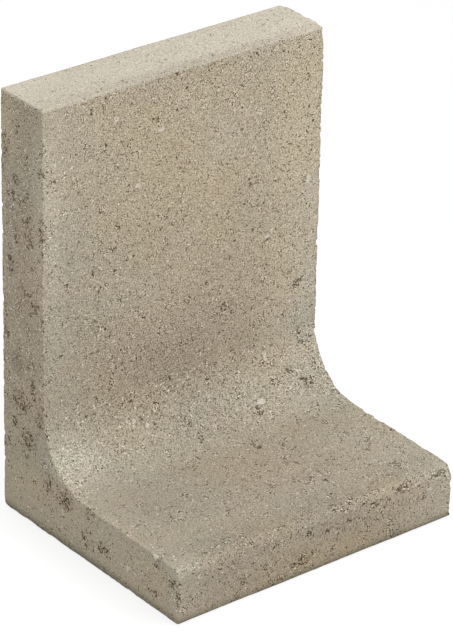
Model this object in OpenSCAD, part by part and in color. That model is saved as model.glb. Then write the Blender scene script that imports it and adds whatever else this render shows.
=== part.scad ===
// L-shaped retaining block, cast in concrete as one piece: an upstand and a foot
// joined by a large inside radius. It stands on its foot, with the back of the
// upstand at +Y, the toe of the foot at -Y and its length along X. Its two ends
// are square, as the mould leaves them, so that it butts against the next block.

/* [Overall size] */
// Length of the block along the wall
block_w = 300; // [100:5:1000]
// Depth from the back of the upstand to the toe of the foot
block_d = 250; // [190:5:500]
// Height from the bed to the top of the upstand
block_h = 400; // [250:5:1000]

/* [Section] */
// Thickness of the upstand
upstand_t = 60; // [40:1:80]
// Thickness of the foot at its toe
toe_t = 52; // [40:1:100]
// Rise of the foot's sloping top, from the toe to the line of the upstand's face
foot_rise = 3; // [0:0.5:10]
// Radius of the inside corner, between the upstand and the foot
inside_r = 60; // [10:1:80]

/* [Edges] */
// Radius of the toe's upper edge
toe_r = 8; // [1:0.5:15]
// Radius of the heel, the lower edge at the back
heel_r = 5; // [1:0.5:15]
// Radius of the toe's lower edge
sole_r = 2.5; // [1:0.5:15]
// Radius of the upstand's two upper edges
top_r = 2.5; // [1:0.5:15]

/* [Hidden] */
$fn = 96;
// How far a corner's wedge reaches past the sides of the corner
overlap = 2;
// How much larger than its name each arc is cut, so that it crosses its two sides
// and doesn't only touch them
arc_ease = 0.002;

// The section's sharp corners, anticlockwise from the heel. Each is
// [[distance in front of the back, height above the bed], radius].
CORNERS = [
    [[0, 0], heel_r],
    [[block_d, 0], sole_r],
    [[block_d, toe_t], toe_r],
    [[upstand_t, toe_t + foot_rise], inside_r],
    [[upstand_t, block_h], top_r],
    [[0, block_h], top_r],
];

function corner(i) = CORNERS[(i + len(CORNERS)) % len(CORNERS)];
function unit(v) = v / norm(v);

// The unit vectors from corner i along its two sides.
function to_previous(i) = unit(corner(i - 1)[0] - corner(i)[0]);
function to_next(i) = unit(corner(i + 1)[0] - corner(i)[0]);
function is_outer(i) = cross(to_next(i), to_previous(i)) > 0;

// What rounds corner i: the wedge between the corner and the arc that is tangent to
// its sides. An outer corner loses it, and an inner one gains it. The wedge is a kite,
// taken anticlockwise from the arc's centre, less a disc.
module wedge(i) {
    tip = corner(i)[0];
    radius = corner(i)[1];
    half_angle = acos(to_previous(i) * to_next(i)) / 2;
    centre = tip + unit(to_previous(i) + to_next(i)) * radius / sin(half_angle);
    arc_start = tip + to_previous(i) * radius / tan(half_angle);
    arc_end = tip + to_next(i) * radius / tan(half_angle);
    kite = is_outer(i) ? [centre, arc_start, tip, arc_end] : [centre, arc_end, tip, arc_start];
    reach = (radius + overlap) / radius;
    difference() {
        polygon([for (point = kite) centre + (point - centre) * reach]);
        translate(centre) circle(radius + arc_ease);
    }
}

// The L-shaped section, with true arcs at its corners.
module section() {
    indices = [for (i = [0 : len(CORNERS) - 1]) i];
    difference() {
        union() {
            polygon([for (i = indices) corner(i)[0]]);
            for (i = indices) if (!is_outer(i)) wedge(i);
        }
        for (i = indices) if (is_outer(i)) wedge(i);
    }
}

// The whole block: the section carried along X.
module l_block() {
    color([0.68, 0.63, 0.55])
        translate([block_w / 2, block_d / 2, 0])
            rotate([90, 0, -90])
                linear_extrude(block_w) section();
}

l_block();
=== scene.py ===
# %% [markdown]
# # An L-shaped concrete block
#
# Garden walls and path edges are built from blocks like this one: a thin upstand, a foot, and a
# wide curve where they meet. A stiff, sandy mix is rammed into a steel mould and turned out while
# it is still green. The faces that slide along the mould come out even, with small open pores.
# The two ends are pressed against plates, and tear a little when the plates leave.
#
# The CAD frame has the block's exact size, with sharp ends and smooth faces. What is made here is
# the skin that the real casting has: worn arrises, pores, torn patches, and the concrete itself.

# %% The frame
import math

import bpy
import numpy as np
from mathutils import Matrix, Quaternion, Vector


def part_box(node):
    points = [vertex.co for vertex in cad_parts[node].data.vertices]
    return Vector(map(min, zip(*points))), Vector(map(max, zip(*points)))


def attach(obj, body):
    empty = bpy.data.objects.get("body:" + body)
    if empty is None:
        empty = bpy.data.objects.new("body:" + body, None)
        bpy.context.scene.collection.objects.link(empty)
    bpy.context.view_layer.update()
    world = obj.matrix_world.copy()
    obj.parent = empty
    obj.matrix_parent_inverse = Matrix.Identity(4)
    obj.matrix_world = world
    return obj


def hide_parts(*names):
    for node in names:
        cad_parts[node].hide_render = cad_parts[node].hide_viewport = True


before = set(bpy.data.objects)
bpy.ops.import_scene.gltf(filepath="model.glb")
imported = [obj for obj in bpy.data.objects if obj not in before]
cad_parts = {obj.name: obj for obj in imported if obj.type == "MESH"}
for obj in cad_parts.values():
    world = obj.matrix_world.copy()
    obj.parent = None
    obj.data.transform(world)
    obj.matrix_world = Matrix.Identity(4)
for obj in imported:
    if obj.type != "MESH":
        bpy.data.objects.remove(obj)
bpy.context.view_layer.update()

# %% [markdown]
# ## Camera
#
# The block is seen from above its left end. A long lens flattens the perspective, so that the
# upright edges stay almost parallel, as they are in a catalogue picture. The camera is turned
# towards a point near the block's middle and then rolled a little, because the block's long
# edges rise to the right more steeply than a level camera shows them.

# %% The camera
looking_from = Vector((-0.5543, -0.6905, 0.4647))
aim = Vector((-0.0060, -0.0017, 0.1905))
distance = 3.3205
roll = 0.02
lens_length = 219.4

camera_data = bpy.data.cameras.new("camera")
camera_data.lens = lens_length
camera_data.clip_start = 0.1
camera_data.clip_end = 50.0
camera = bpy.data.objects.new("camera", camera_data)
camera.location = aim + looking_from * distance
camera.rotation_mode = "QUATERNION"
facing = (-looking_from).to_track_quat("-Z", "Y")
camera.rotation_quaternion = facing @ Quaternion((0.0, 0.0, 1.0), roll)
bpy.context.scene.collection.objects.link(camera)
bpy.context.scene.camera = camera
bpy.context.scene.view_settings.view_transform = "Standard"
print("camera at", tuple(round(value, 3) for value in camera.location))

# %% [markdown]
# ## Sums in a shader
#
# A material is a net of small sums, and a net drawn by hand is hard to read. So a thin class
# wraps the socket that a node gives out, and adding or multiplying two of them adds the Math
# node that does it. Every other node comes from one method of the net that it belongs to.

# %% Wires and nets
class Wire:
    """A node's output that does sums: each operator adds one Math node to the net."""

    def __init__(self, net, socket):
        self.net = net
        self.socket = socket

    def __add__(self, other):
        return self.net.sum("ADD", self, other)

    def __sub__(self, other):
        return self.net.sum("SUBTRACT", self, other)

    def __rsub__(self, other):
        return self.net.sum("SUBTRACT", other, self)

    def __mul__(self, other):
        return self.net.sum("MULTIPLY", self, other)

    __radd__ = __add__
    __rmul__ = __mul__

    def least(self, other):
        """The smaller of the two."""
        return self.net.sum("MINIMUM", self, other)

    def most(self, other):
        """The larger of the two."""
        return self.net.sum("MAXIMUM", self, other)

    def twin(self, name):
        """Another output of the same node."""
        return Wire(self.net, self.socket.node.outputs[name])

    def rise(self, start, end):
        """0 before start, 1 after end and an eased slope between. It falls if start is larger."""
        inputs = {"Value": self, "From Min": start, "From Max": end}
        return self.net.add("ShaderNodeMapRange", {"interpolation_type": "SMOOTHSTEP"}, inputs)


class Net:
    """The nodes of one material, or of the world."""

    def __init__(self, owner):
        owner.use_nodes = True
        self.tree = owner.node_tree
        self.tree.nodes.clear()

    def add(self, kind, settings=None, inputs=None, output=0):
        """Adds a node: its settings, then a value or a wire for each input. Gives one output."""
        node = self.tree.nodes.new(kind)
        for name, value in (settings or {}).items():
            setattr(node, name, value)
        for name, value in (inputs or {}).items():
            if isinstance(value, Wire):
                self.tree.links.new(value.socket, node.inputs[name])
            else:
                node.inputs[name].default_value = value
        return Wire(self, node.outputs[output]) if node.outputs else None

    def sum(self, operation, first, second):
        """One Math node on two numbers, each of them a value or a wire."""
        return self.add("ShaderNodeMath", {"operation": operation}, {0: first, 1: second})

    def mixed(self, share, first, second):
        """Mixes two colours: share 0 gives the first, and share 1 the second."""
        settings = {"data_type": "RGBA"}
        return self.add("ShaderNodeMix", settings, {0: share, 6: first, 7: second}, output=2)


WHITE = (1.0, 1.0, 1.0, 1.0)

# %% [markdown]
# ## Floor and sky
#
# The block stands on white paper under an even white sky, but only the camera sees them that
# bright. The block is lit by a duller sky and a darker floor, so that little light is thrown up
# under the toe. The camera's own floor still takes part of its shade from the lamps, which keeps
# the block's soft shadow on it, and reflections show the same white sky as the camera does.

# %% The floor
floor_size = 8.0
floor_drop = 0.0003
floor_glow = 0.78
PAPER_FOR_BLOCK = (0.28, 0.28, 0.28, 1.0)
PAPER_FOR_CAMERA = (0.27, 0.27, 0.27, 1.0)

bpy.ops.mesh.primitive_plane_add(size=floor_size, location=(0.0, 0.0, -floor_drop))
floor = bpy.context.object
floor.name = "floor"
floor.data.materials.append(bpy.data.materials.new("white_paper"))
net = Net(floor.data.materials[0])
to_camera = net.add("ShaderNodeLightPath", output="Is Camera Ray")
dull = net.add("ShaderNodeBsdfDiffuse", inputs={"Color": PAPER_FOR_BLOCK})
shaded = net.add("ShaderNodeBsdfDiffuse", inputs={"Color": PAPER_FOR_CAMERA})
glowing = net.add("ShaderNodeEmission", inputs={"Color": WHITE, "Strength": floor_glow})
white = net.add("ShaderNodeAddShader", inputs={0: shaded, 1: glowing})
paper = net.add("ShaderNodeMixShader", inputs={0: to_camera, 1: dull, 2: white})
net.add("ShaderNodeOutputMaterial", inputs={"Surface": paper})
print("floor:", floor_size, "m wide,", floor_drop, "m under the bed")

# %% The sky
sky_level = 0.455

world = bpy.data.worlds.new("sky")
bpy.context.scene.world = world
net = Net(world)
to_camera = net.add("ShaderNodeLightPath", output="Is Camera Ray")
to_gloss = net.add("ShaderNodeLightPath", output="Is Glossy Ray")
dim_sky = net.add("ShaderNodeBackground", inputs={"Color": WHITE, "Strength": sky_level})
white_sky = net.add("ShaderNodeBackground", inputs={"Color": WHITE, "Strength": 1.0})
is_seen = to_camera.most(to_gloss)
whole_sky = net.add("ShaderNodeMixShader", inputs={0: is_seen, 1: dim_sky, 2: white_sky})
net.add("ShaderNodeOutputWorld", inputs={"Surface": whole_sky})
print("the sky lights the block at", sky_level)

# %% [markdown]
# ## Lamps
#
# The block stands in even light with soft shadows, as in a room with tall windows. One lamp hangs
# high in front, a lower one on the left keeps the end as bright as the face, and a weaker one
# lights the back. Each is a wide disc, because a small lamp would cut hard shadows. Its power is
# worked out from the level that it should give, so that it can be moved without growing dimmer.

# %% Three soft lamps
def soft_lamp(name, direction, level, size=1.6, distance=2.4):
    """A round lamp that faces the block. A white surface turned to it gets the given level, so
    its power in watts is the level times the square of pi times the distance."""
    data = bpy.data.lights.new(name, "AREA")
    data.shape = "DISK"
    data.size = size
    data.energy = level * (math.pi * distance) ** 2
    lamp = bpy.data.objects.new(name, data)
    towards = Vector(direction).normalized()
    lamp.location = towards * distance
    lamp.rotation_mode = "QUATERNION"
    lamp.rotation_quaternion = (-towards).to_track_quat("-Z", "Y")
    bpy.context.scene.collection.objects.link(lamp)
    print(name, "has", round(data.energy, 1), "W")


soft_lamp("key_lamp", (0.308, -0.533, 0.788), 0.56, size=0.9, distance=1.1)
soft_lamp("left_lamp", (-0.847, -0.489, 0.208), 0.42)
soft_lamp("back_lamp", (0.0, 0.616, 0.788), 0.28)

# %% [markdown]
# ## The section
#
# Seen from its end the block is an L with rounded corners. Its outline could be drawn point by
# point, but six corners and six radii say the same thing and stay easy to change. From here on
# the sizes are in millimetres, and a point of the section is a pair: how far it lies in front of
# the back, and how high above the bed.

# %% The section's sizes
MM = 0.001
low, high = (np.array(corner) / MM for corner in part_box("l_block"))
block_length, block_depth, block_height = high - low
half_length = block_length / 2

upstand_thickness = 60.0
toe_thickness = 52.0
foot_rise = 3.0
inside_radius = 60.0
toe_radius = 8.0
heel_radius = 5.0
edge_radius = 2.5

HEEL, SOLE, TOE, INSIDE, TOP_FRONT, TOP_BACK = range(6)
corners = np.array([
    [0.0, 0.0],
    [block_depth, 0.0],
    [block_depth, toe_thickness],
    [upstand_thickness, toe_thickness + foot_rise],
    [upstand_thickness, block_height],
    [0.0, block_height],
])
radii = [heel_radius, edge_radius, toe_radius, inside_radius, edge_radius, edge_radius]
print("block:", block_length, "x", block_depth, "x", block_height, "mm")


# %% The outline
ARC_STEPS = 64


def unit(vector):
    """The same direction with a length of one."""
    return vector / np.linalg.norm(vector, axis=-1, keepdims=True)


def corner_circle(number):
    """The arc of a corner as its centre and two arms, from the centre to where the arc leaves
    each side. The centre is on the line that halves the corner, the radius over the sine of the
    half angle away from the tip."""
    tip = corners[number]
    sides = unit(corners[[number - 1, (number + 1) % len(corners)]] - tip)
    half_angle = math.acos(sides[0] @ sides[1]) / 2
    centre = tip + unit(sides.sum(axis=0)) * radii[number] / math.sin(half_angle)
    arms = tip + sides * radii[number] / math.tan(half_angle) - centre
    return centre, arms


def corner_arc(number):
    """Points along a corner's arc: the arm turned from the first side to the second, as a blend
    of the two arms weighted with the sines of the angles that are left and done."""
    centre, arms = corner_circle(number)
    sweep = math.acos(unit(arms[0]) @ unit(arms[1]))
    done = np.linspace(0.0, sweep, ARC_STEPS + 1)[:, None]
    turned = np.sin(sweep - done) * arms[0] + np.sin(done) * arms[1]
    return centre + turned / math.sin(sweep)


arcs = [corner_arc(number) for number in range(len(corners))]
outline = np.vstack([*arcs, arcs[HEEL][:1]])
travelled = np.concatenate([[0.0], np.cumsum(np.linalg.norm(np.diff(outline, axis=0), axis=1))])
way_round = travelled[-1]
arc_start, arc_middle, arc_end = (
    travelled[np.arange(len(corners)) * (ARC_STEPS + 1) + along]
    for along in (0, ARC_STEPS // 2, ARC_STEPS)
)


def on_outline(distance):
    """The points of the outline at distances along it, from the heel round by the toe."""
    return np.stack([np.interp(distance % way_round, travelled, axis) for axis in outline.T], -1)


print("the outline is", round(way_round, 1), "mm round")

# %% [markdown]
# ## A lattice through the block
#
# A smooth slab could be an outline pushed along X with two flat caps, but a cap made as one big
# face can hold no pores. So the block is treated as a bar, bent at the heel: rows run down the
# upstand and out along the foot, columns run through the bar from its outer to its inner side,
# and layers run along X. Every point of the skin then has neighbours about a millimetre away,
# on the ends as well as on the long faces, and the skin closes by itself.

# %% Rows and columns of the section
spacing = 1.0

fillet_top = arcs[INSIDE][-1]
fillet_foot = arcs[INSIDE][0]
outer_stops = np.array([
    arc_middle[TOP_BACK],
    way_round - (fillet_top[1] - heel_radius),
    way_round + arc_middle[HEEL],
    way_round + arc_end[HEEL] + fillet_foot[0] - heel_radius,
    way_round + arc_middle[SOLE],
])
inner_stops = np.array([
    arc_middle[TOP_FRONT],
    arc_end[INSIDE],
    arc_middle[INSIDE],
    arc_start[INSIDE],
    arc_middle[TOE],
])
mean_gaps = (np.abs(np.diff(outer_stops)) + np.abs(np.diff(inner_stops))) / 2
rows_at_stops = np.concatenate([[0], np.cumsum(np.round(mean_gaps / spacing))]).astype(int)
row = np.arange(rows_at_stops[-1] + 1)
column_count = round(upstand_thickness / spacing)
column = np.arange(column_count + 1)

outer_side = on_outline(np.interp(row, rows_at_stops, outer_stops))
inner_side = on_outline(np.interp(row, rows_at_stops, inner_stops))
top_side = on_outline(np.linspace(arc_middle[TOP_BACK], arc_middle[TOP_FRONT], len(column)))
toe_side = on_outline(np.linspace(arc_middle[SOLE], arc_middle[TOE], len(column)))


def fill_between(left, right, start, finish):
    """A grid of points bounded by four curves. A point is the blend of left and right, plus the
    blend of start and finish, less the blend of the four corners, which both blends hold."""
    down = np.linspace(0.0, 1.0, len(left))[:, None, None]
    over = np.linspace(0.0, 1.0, len(start))[None, :, None]
    sideways = (1 - over) * left[:, None] + over * right[:, None]
    lengthways = (1 - down) * start[None] + down * finish[None]
    at_corners = (
        (1 - down) * ((1 - over) * left[0] + over * right[0])
        + down * ((1 - over) * left[-1] + over * right[-1])
    )
    return sideways + lengthways - at_corners


section_grid = fill_between(outer_side, inner_side, top_side, toe_side)
layer = np.linspace(-half_length, half_length, round(block_length / spacing) + 1)
print("rows, columns, layers:", len(row), len(column), len(layer))


# %% The skin of the lattice
def skin_of(rows, columns, layers):
    """The outer points of a block of points, as their row, column and layer numbers, and the
    four-sided faces between them. Every other sheet is read crosswise, so that all faces turn
    their outer side out."""
    outer = np.zeros((rows, columns, layers), bool)
    outer[[0, -1]] = True
    outer[:, [0, -1]] = True
    outer[:, :, [0, -1]] = True
    number = np.full(outer.shape, -1)
    number[outer] = np.arange(outer.sum())
    sheets = [
        number[0], number[-1].T,
        number[:, 0].T, number[:, -1],
        number[:, :, 0], number[:, :, -1].T,
    ]
    faces = [
        np.stack([s[:-1, :-1], s[1:, :-1], s[1:, 1:], s[:-1, 1:]], -1).reshape(-1, 4)
        for s in sheets
    ]
    return np.nonzero(outer), np.vstack(faces)


(at_row, at_column, at_layer), skin_faces = skin_of(len(row), len(column), len(layer))
flat_section = section_grid[at_row, at_column]
flat_x = layer[at_layer]
print("skin:", len(flat_x), "points,", len(skin_faces), "faces")

# %% [markdown]
# ## How deep a point lies
#
# Arrises wear round, and they wear unevenly. A Bevel modifier gives every edge one width, so
# the rounding is worked out from distances instead. For any point it is known how deep it lies
# inside the section, and how far it is from the nearer end. Where two faces meet, both are small,
# and the two distances can be joined by an arc of any radius, which may change from point to
# point.

# %% Depth inside the section
def round_least(first, second, radius):
    """The smaller of two depths, joined by an arc where both are under the radius: the radius
    less the distance from the arc's centre."""
    gap = np.hypot(np.maximum(radius - first, 0.0), np.maximum(radius - second, 0.0))
    return np.where((first < radius) & (second < radius), radius - gap, np.minimum(first, second))


def depth_behind_face(points):
    """How deep points lie behind the upstand's face, the inside curve and the top of the foot.
    Beside the curve it is the distance from the curve's centre less its radius, and elsewhere
    the distance behind the flat face or under the foot's top."""
    centre, arms = corner_circle(INSIDE)
    away = points - centre
    foot_normal, face_normal = unit(arms)
    behind_face = away @ face_normal - inside_radius
    under_foot = away @ foot_normal - inside_radius
    along_foot = unit(corners[TOE] - corners[INSIDE])
    beside_curve = (away[..., 1] < 0) & (away @ along_foot < 0)
    from_curve = np.linalg.norm(away, axis=-1) - inside_radius
    return np.where(beside_curve, from_curve, np.maximum(behind_face, under_foot))


def depth_in_section(points):
    """How deep points of the section lie inside its outline: the least of the depths behind its
    faces, joined by arcs at the corners."""
    back, bed = points[..., 0], points[..., 1]
    front, top = block_depth - back, block_height - bed
    face = depth_behind_face(points)
    return np.minimum.reduce([
        round_least(back, bed, heel_radius),
        round_least(front, bed, edge_radius),
        round_least(face, front, toe_radius),
        round_least(face, top, edge_radius),
        round_least(back, top, edge_radius),
    ])


def way_in(points, step=0.05):
    """The direction in which the depth grows fastest, from the depths a step either way."""
    slopes = [
        depth_in_section(points + shift) - depth_in_section(points - shift)
        for shift in np.eye(2) * step
    ]
    return unit(np.stack(slopes, -1))


print("deepest point of the skin:", round(depth_in_section(flat_section).max(), 1), "mm")

# %% [markdown]
# ## Chance in three dimensions
#
# Concrete's marks come from inside it: a pore is a bubble that the surface cuts through. So
# chance is spread through the whole mass, and not painted on a face. Two tools are enough: a
# cloudy value that changes smoothly from place to place, and balls scattered through space. Both
# take their numbers from tables of seeded random values, so every run gives the same block.

# %% Clouds and bubbles
TABLE_SIZE = 61


def ease(values, start, end):
    """0 before start, 1 after end, and between them 3t² - 2t³. It falls if start is larger."""
    part = np.clip((values - start) / (end - start), 0.0, 1.0)
    return part * part * (3 - 2 * part)


def table_values(cells, seed):
    """A random number from 0 to 1 for each cell, from a table that repeats after its last cell."""
    table = np.random.default_rng(seed).random((TABLE_SIZE,) * 3)
    return table[tuple((cells % TABLE_SIZE).T)]


def clouds(points, size, seed):
    """A smooth random value from -1 to 1. The corners of a grid of the given size hold random
    numbers, and a point takes the eased blend of its cell's eight corners."""
    cell = np.floor(points / size).astype(int)
    part = ease(points / size - cell, 0.0, 1.0)
    total = np.zeros(len(points))
    for step in np.ndindex(2, 2, 2):
        share = np.where(step, part, 1 - part).prod(axis=1)
        total += share * table_values(cell + step, seed)
    return 2 * total - 1


def bubbles(points, cell_size, chance, smallest, largest, seed):
    """How deep bubbles cut in at each point: the root of the ball's radius squared less the
    distance to its centre squared. Each cell of space may hold one ball, at a random place in
    it, so only the eight nearest cells can reach a point. A ball that barely gets its chance is
    smaller."""
    shrinking = 0.05
    corner = np.floor(points / cell_size - 0.5).astype(int)
    deepest = np.zeros(len(points))
    for step in np.ndindex(2, 2, 2):
        cell = corner + step
        place = np.stack([table_values(cell, seed + axis) for axis in range(3)], -1)
        radius = smallest + (largest - smallest) * table_values(cell, seed + 3) ** 2
        radius = radius * ease(chance - table_values(cell, seed + 4), 0.0, shrinking)
        offset = points - (cell + place) * cell_size
        depth = np.sqrt(np.maximum(radius**2 - (offset**2).sum(axis=1), 0.0))
        deepest = np.maximum(deepest, depth)
    return deepest


print("a table of chance holds", TABLE_SIZE**3, "values")

# %% [markdown]
# ## Where the block is marked
#
# Most marks are left to chance, but the ones that the eye finds first are listed one by one: the
# torn clusters on the left end, the foot and the curve, the pits and short cracks, the pale
# stones that lie bare, and the corners that are knocked round. Each is a place on the block, in
# the frame's axes, with how far it reaches or how wide it is.

# %% Places on the block
LEFT, RIGHT = -half_length, half_length
FACE, BACK, FRONT = block_depth / 2 - upstand_thickness, block_depth / 2, -block_depth / 2
TOP = block_height

torn_places = [
    ((LEFT, 90, 309), (5, 5, 4)),
    ((LEFT, 108, 308), (5, 4, 5)),
    ((LEFT, 113, 240), (5, 6, 10)),
    ((LEFT, 104, 270), (5, 4, 9)),
    ((LEFT, 86, 272), (5, 7, 7)),
    ((LEFT, 68, 286), (5, 4, 14)),
    ((LEFT, 76, 213), (5, 5, 7)),
    ((LEFT, 92, 222), (5, 9, 4)),
    ((LEFT, 100, 113), (5, 13, 12)),
    ((LEFT, 81, 132), (5, 4, 12)),
    ((LEFT, 70, 108), (6, 5, 12)),
    ((LEFT, 109, 90), (5, 5, 7)),
    ((LEFT, 90, 80), (5, 14, 12)),
    ((LEFT, 58, 52), (5, 9, 10)),
    ((LEFT, 36, 46), (6, 13, 11)),
    ((LEFT, 8, 24), (5, 5, 5)),
    ((LEFT, -20, 24), (5, 9, 6)),
    ((LEFT, -94, 46), (6, 5, 6)),
    ((LEFT, -90, 15), (5, 6, 4)),
    ((LEFT, FRONT, 28), (4, 4, 16)),
    ((137, FRONT, 48), (9, 5, 6)),
    ((94, FRONT, 48), (10, 5, 4)),
    ((66, FRONT, 43), (9, 5, 4)),
    ((13, FRONT, 35), (5, 5, 4)),
    ((-18, FRONT, 14), (12, 5, 6)),
    ((-48, FRONT, 7), (14, 5, 3)),
    ((87, FRONT, 5), (6, 5, 4)),
    ((-9, 47, 71), (3, 7, 7)),
    ((-5, 31, 61), (3, 7, 5)),
    ((62, 36, 63), (6, 6, 6)),
    ((33, 4, 54), (7, 9, 5)),
    ((112, 55, 80), (5, 5, 5)),
    ((126, 43, 68), (6, 5, 5)),
    ((110, -97, 52), (6, 9, 4)),
    ((129, FACE, 157), (5, 4, 5)),
    ((129, FACE, 107), (5, 4, 5)),
    ((44, FACE, 160), (6, 4, 6)),
]
crack_places = [
    ((43, -77, 53), (46, -89, 53), 1.1), ((48, -68, 53), (50, -60, 53), 1.0),
    ((-89, FACE, 389), (-86, FACE, 384), 0.9), ((-86, FACE, 384), (-87, FACE, 380), 0.9),
    ((46, -89, 53), (43, -95, 53), 0.9), ((86, FACE, 172), (90, FACE, 166), 0.9),
]
pit_places = [
    ((-10, FACE, 396), 2.2), ((-30, FACE, 349), 1.6), ((32, FACE, 334), 1.8),
    ((72, FACE, 270), 2.4), ((132, FACE, 255), 2.6), ((145, FACE, 324), 2.2),
    ((92, FACE, 211), 2.4), ((106, FACE, 213), 1.8), ((118, FACE, 157), 1.8),
    ((53, FACE, 153), 1.6), ((-72, FACE, 271), 2.2), ((-98, FACE, 235), 2.4),
    ((-91, FACE, 214), 2.2), ((-69, FACE, 201), 2.0), ((131, FACE, 106), 2.2),
    ((-88, FACE, 386), 1.6), ((111, 54, 80), 3.0), ((121, 47, 71), 2.2), ((128, 43, 67), 2.2),
    ((65, 38, 64), 2.6), ((89, 60, 94), 1.8), ((-40, 52, 77), 2.6), ((-52, 56, 83), 2.2),
    ((-10, 51, 75), 2.2), ((-4, 42, 68), 2.0), ((135, 4, 54), 1.6), ((49, -12, 54), 1.8),
    ((18, -87, 53), 2.2), ((27, -106, 52), 2.0), ((126, -91, 53), 2.2), ((108, -59, 53), 2.4),
    ((44, -78, 53), 1.8), ((94, FRONT, 42), 2.2), ((129, FRONT, 46), 2.0), ((75, FRONT, 37), 1.8),
    ((12, FRONT, 34), 2.6), ((34, FRONT, 36), 2.2), ((-5, FRONT, 18), 2.6),
    ((-25, FRONT, 14), 3.0), ((-18, FRONT, 17), 2.2),
]
stone_places = [
    ((-26, FACE, 350), (4.2, 3, 2.4)), ((-51, FACE, 304), (3.2, 3, 2.2)),
    ((136, FACE, 258), (3, 3, 4)), ((92, FACE, 214), (3.4, 3, 2)), ((90, 63, 99), (2, 3, 4.2)),
    ((70, 42, 67), (4.5, 3, 3)), ((-60, 56, 83), (2.6, 3, 2.6)), ((-48, 52, 78), (2.2, 3, 2.2)),
    ((-74, FACE, 372), (2.6, 3, 3.2)), ((LEFT, -54, 21), (3, 3.2, 3)),
    ((LEFT, -92, 51), (3, 3.4, 2.4)), ((LEFT, 98, 178), (3, 2.4, 2)),
    ((125, FRONT, 37), (3, 3, 2.2)), ((-128, FRONT, 40), (2.4, 3, 2.4)),
    ((20, 10, 55), (2.6, 3, 2)),
]
rounded_places = [
    ((RIGHT, FACE, TOP), (14, 14, 14)),
    ((RIGHT, BACK, TOP), (10, 10, 10)),
    ((LEFT, -96, 52), (8, 8, 6)),
    ((RIGHT, FRONT, 50), (10, 10, 10)),
]
print("torn places:", len(torn_places), "pits:", len(pit_places), "stones:", len(stone_places))


# %% How near a place a point lies
def apart(points, places):
    """How far points lie from the nearest place: 0 at its middle and 1 at its reach."""
    distances = [np.linalg.norm((points - middle) / reach, axis=1) for middle, reach in places]
    return np.minimum.reduce(distances)


def from_line(points, start, end):
    """How far points lie from a straight line between two places."""
    way = np.subtract(end, start)
    along = np.clip((points - start) @ way / (way @ way), 0.0, 1.0)
    return np.linalg.norm(points - start - along[:, None] * way, axis=1)


def nearness(points, places):
    """1 near the middle of the nearest place, falling to 0 at its reach."""
    return ease(apart(points, places), 1.0, 0.3)


def torn_share(points):
    """How torn the skin is, from 0 to 1: round the places above, a little round each pit, and
    where a cloud is thick on the two ends."""
    from_end = half_length - np.abs(points[:, 0])
    by_hand = ease(apart(points, torn_places), 1.5, 0.4)
    pit_reaches = [(middle, np.full(3, 1.8 * size)) for middle, size in pit_places]
    near_pits = 0.6 * ease(apart(points, pit_reaches), 1.2, 0.5)
    by_chance = ease(clouds(points, size=17.0, seed=20), 0.42, 0.75) * ease(from_end, 9.0, 2.0)
    return np.maximum.reduce([by_hand, near_pits, 0.7 * by_chance])


first_place = np.array([torn_places[0][0]])
print("torn at the first torn place:", torn_share(first_place).round(2))

# %% [markdown]
# ## The worn skin
#
# Each point of the skin moves once, inwards. Near an end the move follows an arc that joins the
# end to the faces, whose radius wanders and opens into small chips. To that are added a slow
# unevenness, the bubbles, the torn patches' ragged holes, and the pits and cracks placed by hand.
# Nothing moves outwards, so the block never outgrows its frame.

# %% How far the arrises are worn
LEAST_WEAR, MEAN_WEAR = 0.4, 0.9
CHIP_WEAR = 2.6
CORNER_WEAR = 4.0


def wear_radius(points):
    """The radius of the worn arrises at the ends, in millimetres: a wandering one, plus chips,
    bites and knocked corners. The right end and the left end's back arris are bitten all along,
    and the arrises at the bed hardly chip."""
    slow, quick = clouds(points, size=9.0, seed=31), clouds(points, size=3.5, seed=32)
    wandering = MEAN_WEAR + 0.5 * slow + 0.5 * quick
    x, y, z = points.T
    bitten = np.maximum(ease(x, 0.0, 60.0), ease(y, 100.0, 118.0)) * ease(z, 2.0, 8.0)
    chips = CHIP_WEAR * ease(clouds(points, size=8.0, seed=33), 0.45, 0.85)
    chips = chips * (1 - 0.7 * ease(z, 10.0, 3.0))
    bites = CHIP_WEAR * ease(clouds(points, size=3.6, seed=34), -0.05, 0.6) * bitten
    corners_off = CORNER_WEAR * nearness(points, rounded_places)
    return np.clip(wandering, LEAST_WEAR, None) + chips + bites + corners_off


upper_corner = np.array([[RIGHT, BACK, TOP]])
print("wear at the right end's upper corner:", wear_radius(upper_corner).round(1), "mm")

# %% How deep the marks are
SHAKE = 1.3
TORN_DEPTH = 1.5
PORE_SHARE = 0.8        # how much of a bubble's depth stays open
PIT_SHARE = 0.65        # how much of a placed pit's size its ball takes


def ball_depth(radius, away):
    """How deep a ball cuts in at a distance from its centre: the root of its radius squared less
    the distance squared. A round bar does the same at a distance from its middle line."""
    return np.sqrt(np.maximum(radius**2 - away**2, 0.0))


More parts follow.
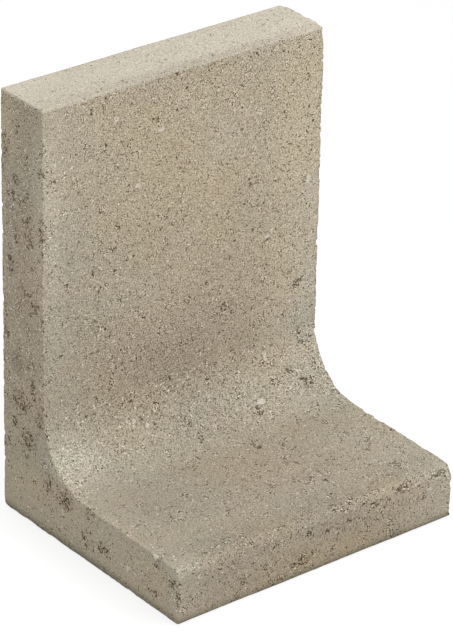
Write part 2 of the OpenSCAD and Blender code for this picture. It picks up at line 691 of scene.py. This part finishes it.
def hollow_depth(points):
    """How far pores, pits, cracks and torn patches cut in, in millimetres: the deepest of them.
    The points are shaken first, so that no hollow is quite round."""
    shaking = [clouds(points, size=2.2, seed=40 + axis) for axis in range(3)]
    shaken = points + SHAKE * np.stack(shaking, -1)
    to_right = ease(points[:, 0], -120.0, 120.0)
    in_clumps = ease(clouds(points, size=60.0, seed=43), 0.0, 0.6)
    open_share = 0.06 + 0.10 * to_right + 0.08 * in_clumps
    large = bubbles(shaken, cell_size=11.0, chance=open_share, smallest=0.6, largest=2.2, seed=50)
    small = bubbles(shaken, cell_size=5.0, chance=open_share, smallest=0.5, largest=1.2, seed=60)
    ragged = clouds(points, size=2.4, seed=45) + 0.8 * clouds(points, size=5.0, seed=46)
    above_bed = ease(points[:, 2], 1.0, 7.0)
    torn = TORN_DEPTH * torn_share(points) * ease(ragged, 0.1, 0.9) * above_bed
    placed = np.zeros(len(points))
    for middle, size in pit_places:
        away = np.linalg.norm(shaken - middle, axis=1)
        placed = np.maximum(placed, ball_depth(PIT_SHARE * size, away))
    for start, end, radius in crack_places:
        placed = np.maximum(placed, ball_depth(radius, from_line(shaken, start, end)))
    return np.maximum.reduce([PORE_SHARE * large, PORE_SHARE * small, torn, placed])


def unevenness(points):
    """Slow hollows of the cast faces, in millimetres, never below zero."""
    slow = 0.22 * (1 + clouds(points, size=45.0, seed=70))
    close = 0.10 * (1 + clouds(points, size=7.0, seed=71))
    close += 0.07 * (1 + clouds(points, size=3.2, seed=72))
    return slow + close


# %% The skin after wear
def worn_skin(section, x):
    """The points of the skin after wear: each moves in by the arc's gap plus its hollows, along
    the direction from it to the arc's centre."""
    across = depth_in_section(section)
    from_end = half_length - np.abs(x)
    inwards = way_in(section)
    flat = np.stack([x, block_depth / 2 - section[:, 0], section[:, 1]], -1)
    radius = wear_radius(flat)
    pull_across = np.maximum(radius - across, 0.0)
    pull_along = np.maximum(radius - from_end, 0.0)
    reach = np.hypot(pull_across, pull_along)
    direction = np.stack([
        -np.sign(x) * pull_along,
        -inwards[:, 0] * pull_across,
        inwards[:, 1] * pull_across,
    ], -1) / reach[:, None]
    moved = flat + direction * (reach - radius)[:, None]
    return moved + direction * (unevenness(moved) + hollow_depth(moved))[:, None]


skin_points = worn_skin(flat_section, flat_x)
print("worn box, in mm:", skin_points.min(axis=0).round(2), skin_points.max(axis=0).round(2))

# %% [markdown]
# ## The mesh
#
# The full skin has close to a million triangles, most of them on plain stretches that need few.
# A Decimate modifier takes points away where the surface hardly changes, and leaves the pores
# and arrises as they are. Its result replaces the full mesh, so that later steps work on the
# final points.

# %% From points to a closed mesh
TRIANGLE_LIMIT = 195_000


def mesh_from(name, points, faces):
    """A mesh of four-sided faces, straight from arrays."""
    mesh = bpy.data.meshes.new(name)
    mesh.vertices.add(len(points))
    mesh.vertices.foreach_set("co", points.ravel())
    mesh.loops.add(faces.size)
    mesh.loops.foreach_set("vertex_index", faces.ravel())
    mesh.polygons.add(len(faces))
    mesh.polygons.foreach_set("loop_start", np.arange(0, faces.size, 4))
    mesh.update(calc_edges=True)
    return mesh


block = bpy.data.objects.new("cast_block", mesh_from("full_skin", skin_points * MM, skin_faces))
bpy.context.scene.collection.objects.link(block)
thinning = block.modifiers.new("fewer_points", "DECIMATE")
thinning.ratio = TRIANGLE_LIMIT / (2 * len(skin_faces))
thinning.use_collapse_triangulate = True
thinned_block = block.evaluated_get(bpy.context.evaluated_depsgraph_get())
thinned = bpy.data.meshes.new_from_object(thinned_block)
block.modifiers.clear()
full_skin, block.data = block.data, thinned
bpy.data.meshes.remove(full_skin)
thinned.name = "cast_block"
thinned.polygons.foreach_set("use_smooth", np.ones(len(thinned.polygons), bool))

corner_edges = np.zeros(len(thinned.loops), int)
thinned.loops.foreach_get("edge_index", corner_edges)
faces_per_edge = np.bincount(corner_edges)
print("triangles:", len(thinned.polygons), "edges without two faces:", (faces_per_edge != 2).sum())

# %% [markdown]
# ## A flat map of the skin
#
# When the block is exported, its concrete is painted onto a square picture, and the picture is
# laid back over it by a UV map. An automatic unwrap would cut the skin into hundreds of scraps.
# The block unrolls by itself: its faces are two long strips with their seams on arrises, and
# each end is an L, cut once at the height of the curve so that its two parts pack well.

# %% The final mesh as arrays
def mesh_arrays(mesh):
    """The mesh's points, in millimetres, and the three point numbers of each triangle."""
    points = np.zeros(len(mesh.vertices) * 3)
    mesh.vertices.foreach_get("co", points)
    numbers = np.zeros(len(mesh.loops), int)
    mesh.loops.foreach_get("vertex_index", numbers)
    return points.reshape(-1, 3) / MM, numbers.reshape(-1, 3)


def to_section(points):
    """The section's pair for each point: how far in front of the back, and how high."""
    return np.stack([block_depth / 2 - points[:, 1], points[:, 2]], -1)


skin, triangles = mesh_arrays(thinned)
skin_section = to_section(skin)
centres = skin[triangles].mean(axis=1)
centres_section = to_section(centres)
print("final points:", len(skin))


# %% Where each point lies round the outline
MARK_SPACING = 2.0
NUDGE = 0.1
BATCHES = 40

marks = np.arange(0.0, way_round, MARK_SPACING)
mark_points = on_outline(marks)
mark_tangents = unit(on_outline(marks + NUDGE) - on_outline(marks - NUDGE))


def along_outline(section_points, start):
    """How far past a start each point lies round the outline: the place of the nearest mark,
    plus how far the point is past it along the mark's tangent. Points just before the start
    get a small negative distance. A batch of points at a time keeps the tables small."""
    found = []
    for batch in np.array_split(section_points, BATCHES):
        offsets = batch[:, None] - mark_points
        nearest = (offsets**2).sum(axis=2).argmin(axis=1)
        past = (offsets[np.arange(len(batch)), nearest] * mark_tangents[nearest]).sum(axis=1)
        found.append(marks[nearest] + past)
    before = 20.0
    return (np.concatenate(found) - start + before) % way_round - before


print("marks round the outline:", len(marks))

# %% The map
GAP = 6.0

inner_length = arc_middle[TOP_BACK] - arc_middle[SOLE]
curve_height = fillet_top[1]
side = 2 * block_length + 2 * upstand_thickness + 5 * GAP

on_end = half_length - np.abs(centres[:, 0]) < depth_in_section(centres_section)
past_sole = along_outline(centres_section, arc_middle[SOLE])
on_inner = (past_sole > 0) & (past_sole < inner_length)
on_left = centres[:, 0] < 0
is_high = centres_section[:, 1] > curve_height

from_left = skin[:, 0] + half_length
from_sole = along_outline(skin_section, arc_middle[SOLE])
from_top = along_outline(skin_section, arc_middle[TOP_BACK])
from_back, height = skin_section.T
second_column = 2 * GAP + block_length
third_column = second_column + GAP + block_length
above_high_parts = 2 * GAP + block_height - curve_height

parts = [
    (~on_end & on_inner, from_left, from_sole, GAP, GAP),
    (~on_end & ~on_inner, from_left, from_top, second_column, GAP),
    (on_end & on_left & ~is_high, from_back, height, GAP, 2 * GAP + inner_length),
    (on_end & ~on_left & ~is_high, height, from_back, third_column, above_high_parts),
    (on_end & on_left & is_high, from_back, height - curve_height, third_column, GAP),
    (
        on_end & ~on_left & is_high,
        from_back,
        height - curve_height,
        third_column + GAP + upstand_thickness,
        GAP,
    ),
]
flat_map = np.zeros((len(triangles), 3, 2))
for chosen, across, up, left, bottom in parts:
    corners_of = triangles[chosen]
    flat_map[chosen] = np.stack([across[corners_of] + left, up[corners_of] + bottom], -1) / side
thinned.uv_layers.new(name="OFBake").data.foreach_set("uv", flat_map.ravel())
used = flat_map.min().round(3), flat_map.max().round(3)
print("the map's side:", round(side), "mm, used from", used[0], "to", used[1])

# %% [markdown]
# ## What the concrete remembers
#
# Pits are painted dark, as painted shade in their hollows, torn patches on the ends show the raw,
# reddish mix, and rubbed arrises go pale; along the toe's upper arris a thin pale line is a
# painted highlight. The mix itself dries lighter or darker, greyer or pinker, from one side of the
# block to the other, and two of the darker patches are painted shade: a band where the upstand
# meets the curve, and a strip along the left end's bed. The material can't see where all this is,
# so each is worked out for every point of the mesh and stored with it as a number. The finer grain
# is left to the material.

# %% Slow changes of colour
# Patches that make the skin lighter or darker. Two of them are painted shade, as marked below.
tone_and_shade_places = [
    ((LEFT, FACE, 270), (36, 30, 200), 0.15),
    ((RIGHT, FACE, 240), (90, 60, 240), 0.18),
    # painted shade: a dark band where the upstand's face meets the curve
    ((-12, FACE, 112), (130, 34, 84), -0.17),
    ((0, -116, 52), (320, 40, 9), -0.15),
    ((0, -123, 48), (400, 8, 8), -0.10),
    ((RIGHT, FRONT, 30), (80, 20, 60), 0.26),
    ((LEFT, FRONT, 30), (50, 14, 60), 0.12),
    ((70, FRONT, 46), (46, 14, 16), 0.09),
    ((-112, FRONT, 46), (24, 12, 14), 0.07),
    ((LEFT, -20, 30), (12, 170, 60), 0.10),
    # painted shade: a dark strip along the left end's bed
    ((LEFT, 0, 0), (14, 180, 12), -0.25),
    ((LEFT, 95, 110), (14, 40, 110), 0.05),
    ((LEFT + 14, 42, 74), (50, 34, 38), 0.27),
    ((12, 38, 66), (60, 30, 25), -0.09),
    ((0, -40, 54), (240, 110, 20), -0.03),
    ((-90, FACE, 160), (80, 20, 70), -0.05),
    ((115, -45, 54), (70, 50, 20), 0.06),
    ((125, FACE, 150), (70, 30, 60), 0.05),
    ((0, FACE, 300), (260, 30, 70), 0.04),
    ((0, FACE, 392), (120, 20, 24), -0.05),
    ((LEFT, 102, 150), (14, 18, 20), -0.28),
    ((LEFT, 120, 225), (14, 14, 60), 0.09),
    ((LEFT, 108, 82), (14, 26, 18), 0.10),
    ((LEFT + 20, 8, 56), (50, 30, 14), 0.06),
    ((LEFT + 10, FRONT + 10, 52), (30, 20, 14), 0.14),
    ((LEFT, BACK, TOP), (70, 50, 8), 0.14),
    ((60, FACE, TOP), (300, 16, 6), -0.17),
    ((LEFT, 82, 320), (14, 28, 90), -0.06),
    ((LEFT, FACE, 330), (44, 30, 60), 0.10),
    ((LEFT, 118, 365), (14, 28, 40), 0.18),
    ((LEFT, 110, 28), (14, 60, 50), 0.10),
    ((LEFT, 70, 200), (14, 40, 120), -0.05),
]
ash_places = [
    ((0, -25, 60), (260, 128, 110), 0.5),
    ((LEFT, 45, 80), (110, 60, 60), 0.5),
    ((LEFT + 24, 34, 70), (44, 40, 30), 0.35),
    ((30, 50, 80), (110, 40, 40), 0.35),
    ((0, FACE, TOP), (300, 22, 3), -0.8),
    ((RIGHT, 30, 80), (70, 60, 60), 0.4),
    ((10, -25, 55), (90, 85, 30), -0.5),
    ((LEFT, -100, 52), (110, 40, 20), 0.5),
    ((RIGHT, -90, 52), (110, 50, 20), 0.5),
    ((LEFT, FACE, 260), (80, 60, 230), 0.4),
    ((LEFT, 80, 210), (4, 45, 160), -0.5),
    ((LEFT, 35, 50), (4, 60, 45), -0.4),
    ((RIGHT, FACE, 150), (60, 40, 150), 0.4),
    ((-10, FACE, 370), (110, 40, 150), -0.15),
    ((0, FRONT, 10), (120, 16, 30), -0.9),
    ((LEFT, FRONT, 35), (60, 20, 40), 0.7),
    ((RIGHT, FRONT, 35), (50, 20, 50), 0.7),
]
pink_places = [
    ((-5, FACE, 150), (150, 40, 90), 1.0),
    ((-20, 45, 90), (100, 40, 60), 0.2),
    ((20, -50, 54), (120, 90, 24), 0.7),
    ((LEFT, 85, 220), (4, 45, 160), 0.8),
    ((LEFT, 60, 105), (4, 30, 45), 0.8),
]
# Rubbed places make the sand paler and coarser; the two along the toe are a painted highlight.
wear_and_highlight_places = [
    ((LEFT + 16, 42, 72), (48, 34, 40), 1.0),
    ((LEFT + 4, FACE, 250), (26, 12, 180), 0.4),
    # painted highlight: a thin pale line along the toe's upper arris
    ((LEFT + 10, -121, 49), (40, 8, 8), 0.8),
    ((50, -119, 51), (50, 5, 5), 0.7),
    ((RIGHT, 50, 80), (40, 40, 50), 0.7),
]
print("tones:", len(tone_and_shade_places), "ash:", len(ash_places), "pink:", len(pink_places))


# %% Marks stored on the mesh
MEAN_TONE = 1.015
DEEPEST_HOLLOW = 3.0


def patches(points, places):
    """The sum of soft patches. Each adds its amount at its middle and nothing at its reach."""
    total = np.zeros(len(points))
    for middle, reach, amount in places:
        total += amount * ease(np.linalg.norm((points - middle) / reach, axis=1), 1.0, 0.0)
    return total


def store(name, values):
    """Stores one number for each point of the block's mesh."""
    thinned.attributes.new(name, "FLOAT", "POINT").data.foreach_set("value", values.ravel())
    least, mean, most = values.min(), values.mean(), values.max()
    print(f"{name}: from {least:.2f} to {most:.2f}, {mean:.3f} on average")


from_end = half_length - np.abs(skin[:, 0])
in_section = depth_in_section(skin_section)
depth_now = round_least(in_section, from_end, wear_radius(skin))
tones_and_shade = patches(skin, tone_and_shade_places)
ashes = patches(skin, ash_places) + 0.25 * clouds(skin, size=40.0, seed=82)
store("hollow", np.clip(depth_now / DEEPEST_HOLLOW, 0.0, 1.0))
store("stone", 1.0 - 0.5 * apart(skin, stone_places).clip(0.0, 2.0))
store("torn", torn_share(skin))
store("tone_and_shade", MEAN_TONE + tones_and_shade + 0.03 * clouds(skin, size=34.0, seed=81))
store("pink", np.clip(patches(skin, pink_places), 0.0, 1.0))
store("wear_and_highlight", np.clip(patches(skin, wear_and_highlight_places), 0.0, 1.0))
store("ash", np.clip(ashes, -1.0, 1.0))

# %% [markdown]
# ## Concrete
#
# This is a sandy, dry mix. At arm's length its colour is one warm grey, but close up it is made
# of sand about a millimetre wide, with pale grains, pin holes and a few wider voids among it, and
# short seams where it tore; holes, voids, pits and seams are painted dark, as painted shade inside
# them. Slower drifts run from ash grey through a warm grey to a pinkish one, where the mix was
# wetter or drier, and the lowest ten millimetres above the bed are darkened as painted shade. Each
# of these is its own pattern on Object coordinates, so that it runs round the arrises without a
# break. The sand and the holes also raise and lower the surface a little.

# %% Tools for patterns
concrete = bpy.data.materials.new("cast_concrete")
net = Net(concrete)
place = net.add("ShaderNodeTexCoord", output="Object")
x, y, z = (
    net.add("ShaderNodeSeparateXYZ", inputs={"Vector": place}, output=axis) * (1 / MM)
    for axis in range(3)
)


def vector(operation, first, second):
    """One Vector Math node, for colours and places."""
    return net.add("ShaderNodeVectorMath", {"operation": operation}, {0: first, 1: second})


def drift(size, shift=0.0, detail=2.0):
    """A cloudy value from about -0.5 to 0.5, with clouds of the given size in millimetres."""
    moved = vector("ADD", place, (shift,) * 3)
    inputs = {"Vector": moved, "Scale": 1 / (size * MM), "Detail": detail}
    return net.add("ShaderNodeTexNoise", inputs=inputs) - 0.5


def cells(size, where=place, part=0):
    """Grains of the given size: how far a point is from its grain's middle, in grain sizes, and
    that grain's luck, a random number which is one part of its random colour."""
    distance = net.add("ShaderNodeTexVoronoi", inputs={"Vector": where, "Scale": 1 / (size * MM)})
    colour = {"Color": distance.twin("Color")}
    return distance, net.add("ShaderNodeSeparateColor", inputs=colour, output=part)


def stored(name):
    """A number that was stored on the mesh."""
    return net.add("ShaderNodeAttribute", {"attribute_name": name}, output="Fac")


def tinted(colour, strength):
    """A colour made lighter or darker by a wire."""
    settings = {"operation": "SCALE"}
    return net.add("ShaderNodeVectorMath", settings, {0: colour, "Scale": strength})


# %% [markdown]
# ## Where the concrete changes
#
# The same mix looks different from face to face. The top is finer, and it is paler partly for its
# own finish and partly as painted light from above; the curve and the upstand's face are coarser,
# the toe's front is pinker, and few pores open beside the left arris. So the patterns need to know
# where they are: the marks stored on the mesh say some of it, and the height and the distance to
# each side, in millimetres, say the rest.

# %% Where on the block
names = ("hollow", "torn", "stone", "tone_and_shade", "ash", "pink", "wear_and_highlight")
hollow, torn, stone, slow_tone_and_shade, ash, pink, wear_and_highlight = (stored(name) for name in names)
on_top = z.rise(396.5, 398.5)
on_front = y.rise(-119.0, -124.0) * z.rise(51.0, 42.0)
past_left = x.rise(-150.0, -80.0)
on_ends = x.rise(-148.0, -149.5).most(x.rise(148.0, 149.5))
beside_left = x.rise(-128.0, -145.0) * (1.0 - on_ends)
on_wall = z.rise(80.0, 140.0)
on_curve = z.rise(125.0, 95.0) * z.rise(54.0, 64.0)
print("nodes that say where:", len(net.tree.nodes))

# %% Slow colours
WARM_GREY = (0.460, 0.371, 0.240, 1.0)
ASH_GREY = (0.400, 0.376, 0.312, 1.0)
PINK_GREY = (0.440, 0.367, 0.282, 1.0)
LIT_TOP_GREY = (0.558, 0.506, 0.414, 1.0)

base = net.mixed(ash.rise(-1.0, 1.0), WARM_GREY, ASH_GREY)
patchy = drift(30.0, shift=5.0).rise(-0.12, 0.18)
base = net.mixed((patchy * 0.4).most(pink * 0.9), base, PINK_GREY)
base = net.mixed(on_front * 0.35, base, PINK_GREY)
# The top is painted paler: partly its own finish, partly painted light from above.
base = net.mixed(on_top * (0.78 + y.rise(66.0, 88.0) * 0.22), base, LIT_TOP_GREY)
print("nodes with the slow colours:", len(net.tree.nodes))

# %% [markdown]
# ## Sand and holes
#
# Each grain and each hole is one cell of a Voronoi texture, which knows how far a point is from
# the middle of its cell. A cell's random colour decides whether a hole opens there at all, and a
# share says how many do. Clean cells would look like beads, so all but the sand are shaken by a
# fine noise first. Sand and holes gather in clumps, as they do in a mix this dry.

# %% Grains
SAND_SIZE = 1.2
GRIT_SIZE = 1.7
HOLE_SIZE = 1.9
SEAM_SIZE = 3.0
VOID_SIZE = 5.0
SHAKE_SIZE = 1.6
SHAKE_REACH = 3.0

shake_inputs = {"Vector": place, "Scale": 1 / (SHAKE_SIZE * MM)}
shaking = net.add("ShaderNodeTexNoise", inputs=shake_inputs, output="Color")
shake = tinted(vector("SUBTRACT", shaking, (0.5, 0.5, 0.5)), SHAKE_REACH * MM)
shaken = vector("ADD", place, shake)
sand_distance, sand_luck = cells(SAND_SIZE)
grit_distance, grit_luck = cells(GRIT_SIZE, shaken, part=1)
hole_distance, hole_luck = cells(HOLE_SIZE, shaken)
clumps = drift(8.0, shift=17.0, detail=1.0).rise(0.02, 0.28)
print("nodes with the grains:", len(net.tree.nodes))

# %% Sand
coarse = 0.37 + (past_left * 0.20).most(on_ends * 0.12) + on_wall * 0.25 + on_curve * 0.18
coarse = (coarse + clumps * 1.05 + wear_and_highlight * 0.4) * (1.0 - on_top * 0.40)
sand = (0.5 - sand_distance) * 1.75 + (sand_luck - 0.5) * 0.35
mottle = drift(4.5, shift=7.0, detail=3.0) * 0.10
print("nodes with the sand:", len(net.tree.nodes))

# %% Pin holes, voids and seams
WIDEST_HOLE, WIDEST_VOID = 0.42, 0.29      # radii, in cell sizes

open_share = (
    0.025
    + past_left * 0.02
    + on_wall * 0.03
    + clumps * 0.32
    + x.rise(0.0, 130.0) * 0.04
    - beside_left * 0.03
    + on_front * 0.05
)
hole_radius = ((open_share - on_top * 0.10 - hole_luck) * 8.0).least(WIDEST_HOLE)
hole = (hole_radius - hole_distance).rise(0.0, 0.08)
void_distance, void_luck = cells(VOID_SIZE, shaken)
void_share = (
    0.024
    + on_wall * 0.022
    + torn * 0.13
    - on_top * 0.05
    - on_ends * 0.03
    - beside_left * 0.04
    - on_front * 0.02
)
void_radius = ((void_share - void_luck) * 12.0).least(WIDEST_VOID - on_ends * 0.04)
void = (void_radius - void_distance).rise(0.0, 0.09)
seam_inputs = {"Vector": shaken, "Scale": 1 / (SEAM_SIZE * MM)}
seam = net.add("ShaderNodeTexVoronoi", {"feature": "DISTANCE_TO_EDGE"}, seam_inputs)
tick = seam.rise(0.20, 0.09) * (drift(2.6, shift=31.0) + torn * 0.17).rise(0.14, 0.20)
pit = (hollow - torn * 0.12 + drift(1.3, shift=27.0, detail=0.0) * 0.5).rise(0.30, 0.42)
print("nodes with the holes:", len(net.tree.nodes))

# %% Pale grains and stones
bare = (torn * (1.0 - on_ends)).most(wear_and_highlight)
pale_share = 0.04 + on_wall * 0.10 + clumps * 0.12 + bare * 0.14 - on_top * 0.10
pale_grain = (pale_share - grit_luck).rise(0.0, 0.01) * grit_distance.rise(0.46, 0.30)
pale_stone = (stone + drift(2.5, shift=21.0) * 0.5).rise(0.47, 0.55)
print("nodes with the pale grains:", len(net.tree.nodes))

# %% All in one colour
SAND_TINT = (0.44, 0.395, 0.318)
GRAIN_CREAM = (0.90, 0.84, 0.72, 1.0)
STONE_BUFF = (0.70, 0.66, 0.57, 1.0)
STAIN_BROWN = (0.28, 0.19, 0.135, 1.0)
BED_SHADE_BROWN = (0.110, 0.105, 0.065, 1.0)
PORE_SHADE_BROWN = (0.066, 0.038, 0.010, 1.0)

colour = vector("ADD", tinted(base, slow_tone_and_shade + mottle), tinted(SAND_TINT, sand * coarse))
colour = net.mixed(pale_grain * 0.9, colour, GRAIN_CREAM)
colour = net.mixed(pale_stone * 0.65, colour, STONE_BUFF)
stain = torn.rise(0.0, 0.6) * drift(7.0, shift=11.0, detail=3.0).rise(-0.15, 0.2) * on_ends
colour = net.mixed(stain * 0.28, colour, STAIN_BROWN)
# painted shade: the lowest ten millimetres above the bed are darkened
colour = net.mixed(z.rise(10.0, 0.0) * 0.55, colour, BED_SHADE_BROWN)
# painted shade: holes, voids, pits and seams are darkened, as shade inside them
shaded_openings = hole.most(void).most(pit * 0.7).most(tick)
colour = net.mixed(shaded_openings * 0.92, colour, PORE_SHADE_BROWN)
print("nodes with the colour:", len(net.tree.nodes))

# %% [markdown]
# ## Finish
#
# Dry concrete is as matt as chalk. What little shine it has comes from single grains, so it is
# rough and hardly reflects. The smallest marks would need millions of triangles, so a Bump node
# tilts the light instead: between the grains, in the holes, and in a fine unevenness all over.

# %% The finish
fine_relief = drift(0.9, shift=3.0, detail=1.0) * 0.2 + drift(3.0, shift=13.0) * 0.15
relief = sand_distance * -0.2 + hole.most(void) * -0.5 + fine_relief
bump = net.add("ShaderNodeBump", inputs={"Height": relief, "Distance": MM, "Strength": 1.0})
skin_finish = {
    "Base Color": colour,
    "Roughness": 0.92,
    "Specular IOR Level": 0.12,
    "Normal": bump,
}
surface = net.add("ShaderNodeBsdfPrincipled", inputs=skin_finish)
net.add("ShaderNodeOutputMaterial", inputs={"Surface": surface})
thinned.materials.append(concrete)
print("concrete has", len(net.tree.nodes), "nodes")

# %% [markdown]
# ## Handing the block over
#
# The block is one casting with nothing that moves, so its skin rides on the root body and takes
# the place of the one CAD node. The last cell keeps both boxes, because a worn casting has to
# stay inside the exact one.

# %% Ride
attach(block, "root")
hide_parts("l_block")
print(block.name, "stands for l_block on root")
